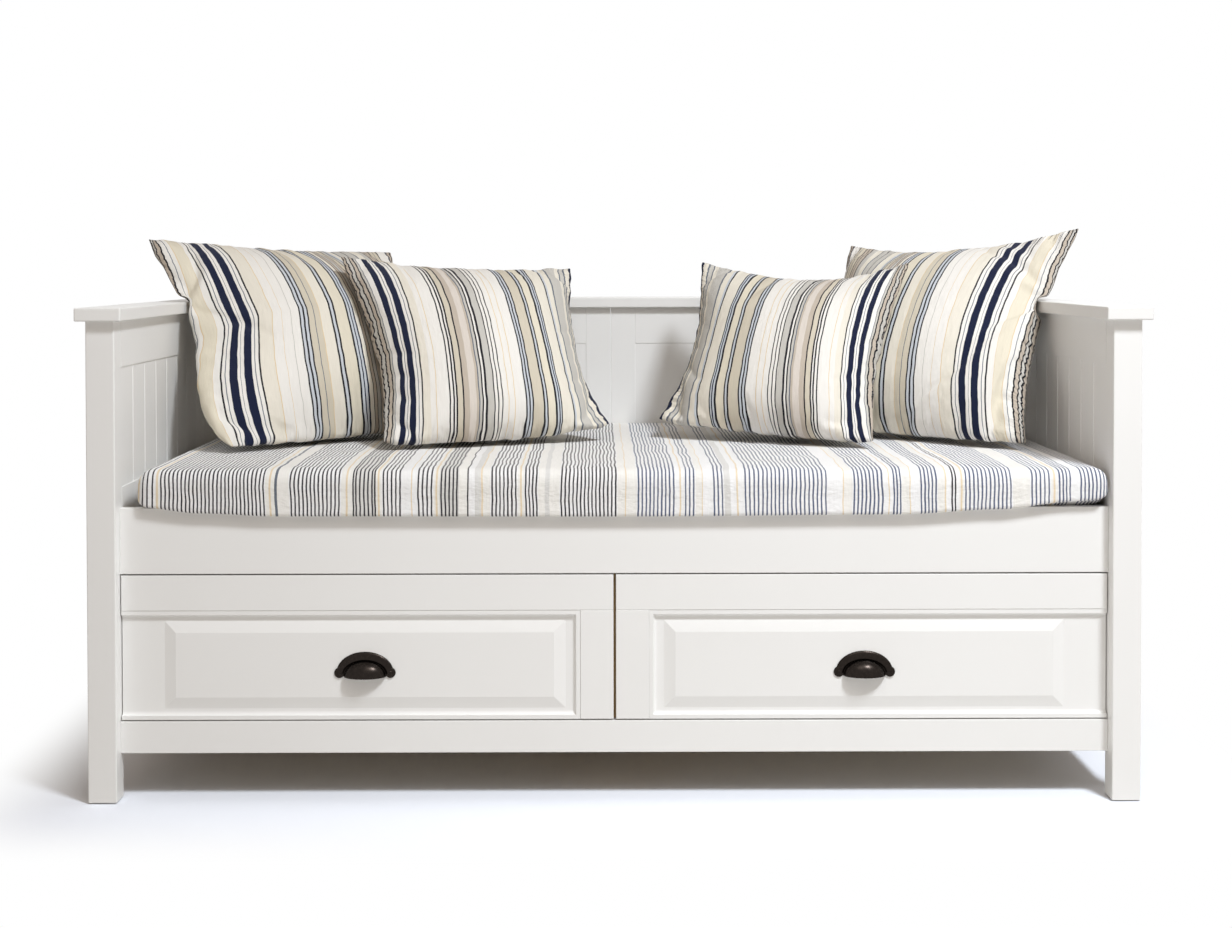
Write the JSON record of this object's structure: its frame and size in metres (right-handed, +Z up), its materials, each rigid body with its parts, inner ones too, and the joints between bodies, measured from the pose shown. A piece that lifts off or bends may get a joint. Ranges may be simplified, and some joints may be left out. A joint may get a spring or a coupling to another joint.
{
  "type": "storage daybed",
  "caption": "Painted wood daybed with panelled ends and back, storage drawers with cup pulls, a thin striped mattress and square pillows.",
  "frame": {"origin": "under the middle of the bed, at floor level", "axes": "+X to the right seen from the front, +Y towards the back, +Z up"},
  "size_m": [2.084, 1.067, 1.1046],
  "materials": {
    "white_paint": "satin white paint on wood",
    "pine": "planed pine, clear finish",
    "beech": "planed hardwood, waxed",
    "plywood": "sanded birch plywood",
    "dark_pewter": "polished dark pewter plating",
    "zinc_steel": "zinc plated",
    "nylon": "moulded nylon",
    "mattress_cover": "crinkled cotton with thin dark and yellow stripes",
    "pillow_cover": "cotton with navy, yellow, taupe and grey stripes"
  },
  "bodies": {
    "frame": {"front_left_post": "white_paint", "front_right_post": "white_paint", "rear_left_post": "white_paint", "rear_right_post": "white_paint", "left_end_cap": "white_paint", "left_end_top_rail": "white_paint", "left_end_middle_rail": "white_paint", "left_end_bottom_rail": "white_paint", "left_end_lower_panel": "white_paint", "left_end_beadboard": "white_paint", "right_end_cap": "white_paint", "right_end_top_rail": "white_paint", "right_end_middle_rail": "white_paint", "right_end_bottom_rail": "white_paint", "right_end_lower_panel": "white_paint", "right_end_beadboard": "white_paint", "rear_cap": "white_paint", "back_left_stile": "white_paint", "back_left_top_rail": "white_paint", "back_left_bottom_rail": "white_paint", "back_left_panel": "white_paint", "back_right_stile": "white_paint", "back_right_top_rail": "white_paint", "back_right_bottom_rail": "white_paint", "back_right_panel": "white_paint", "dust_panel": "white_paint", "seat_rail": "white_paint", "front_bottom_rail": "white_paint", "rear_bottom_rail": "white_paint", "front_slat_ledger": "pine", "rear_slat_ledger": "pine", "centre_partition": "pine", "bed_slats": "pine", "left_drawer_runners": "beech", "right_drawer_runners": "beech", "frame_bolts": "zinc_steel", "foot_glides": "nylon", "mattress": "mattress_cover", "left_rear_pillow": "pillow_cover", "left_front_pillow": "pillow_cover", "right_front_pillow": "pillow_cover", "right_rear_pillow": "pillow_cover"},
    "left_drawer": {"left_drawer_top_board": "white_paint", "left_drawer_stile": "white_paint", "left_drawer_raised_panel": "white_paint", "left_drawer_inner_side": "pine", "left_drawer_outer_side": "pine", "left_drawer_box_back": "pine", "left_drawer_box_bottom": "plywood", "left_drawer_cup_pull": "dark_pewter", "left_drawer_pull_screws": "dark_pewter"},
    "right_drawer": {"right_drawer_top_board": "white_paint", "right_drawer_stile": "white_paint", "right_drawer_raised_panel": "white_paint", "right_drawer_inner_side": "pine", "right_drawer_outer_side": "pine", "right_drawer_box_back": "pine", "right_drawer_box_bottom": "plywood", "right_drawer_cup_pull": "dark_pewter", "right_drawer_pull_screws": "dark_pewter"}
  },
  "joints": [
    {"name": "left_drawer_slide", "type": "slide", "parent": "frame", "child": "left_drawer", "axis": [0, -1, 0], "range_m": [0, 0.55]},
    {"name": "right_drawer_slide", "type": "slide", "parent": "frame", "child": "right_drawer", "axis": [0, -1, 0], "range_m": [0, 0.55]}
  ]
}
